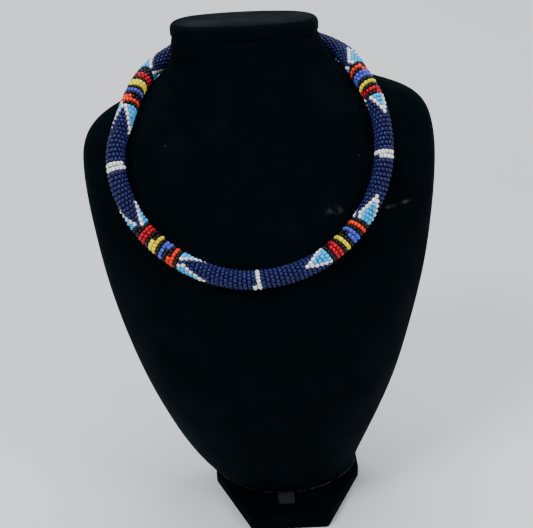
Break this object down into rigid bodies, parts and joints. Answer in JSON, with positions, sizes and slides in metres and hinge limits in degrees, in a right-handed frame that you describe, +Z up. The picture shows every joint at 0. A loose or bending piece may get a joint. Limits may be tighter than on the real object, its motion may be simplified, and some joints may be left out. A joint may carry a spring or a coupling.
{
  "type": "beaded collar on a neck bust",
  "caption": "Rope collar of glass seed beads in navy with white, sky blue, red, yellow, orange and blue bands, worn on a black velvet neck bust that stands on a flat base.",
  "frame": {"origin": "middle of the underside of the whole object's box, on the surface it stands on", "axes": "+Z up, -Y the way the chest faces, +X to the right when seen from the front"},
  "size_m": [0.202, 0.1306, 0.3052],
  "materials": {
    "velvet": "short black velvet pile",
    "seed_beads": "opaque glossy glass beads, navy with coloured bands",
    "clasp_metal": "satin",
    "tab": "plain grey, blank"
  },
  "bodies": {
    "root": {"base_plate": "velvet", "bust_body": "velvet", "neck_cap": "velvet", "foot_tab": "tab", "beaded_rope": "seed_beads", "clasp": "clasp_metal"}
  },
  "joints": []
}
